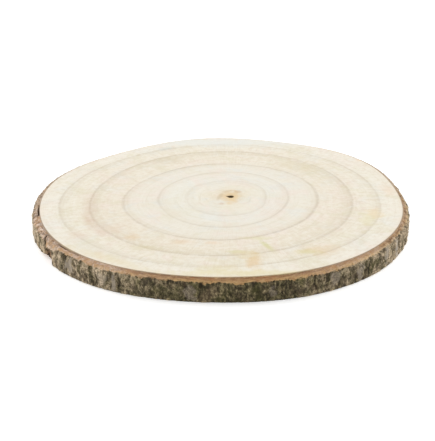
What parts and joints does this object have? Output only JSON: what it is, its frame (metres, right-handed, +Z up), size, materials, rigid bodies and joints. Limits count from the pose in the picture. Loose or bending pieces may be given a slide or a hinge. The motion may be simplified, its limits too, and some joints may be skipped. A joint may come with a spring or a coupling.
{
  "type": "wood slice",
  "caption": "Round slice of a tree trunk, sawn square across the grain with the bark left on, for a stand, a board or craft work; growth rings round a small hollow pith",
  "frame": {"origin": "middle of the slice's outer box, on the lower sawn face it rests on", "axes": "+Z up, square to both sawn faces; -Y is the side that the camera sees in front; +X to the right"},
  "size_m": [0.3778, 0.383, 0.0223],
  "materials": {
    "wood": "sawn across the grain, unsealed and matt",
    "bark": "rough, dry bark with grey-green lichen"
  },
  "bodies": {
    "root": {"wood_slice": "wood"}
  },
  "joints": []
}
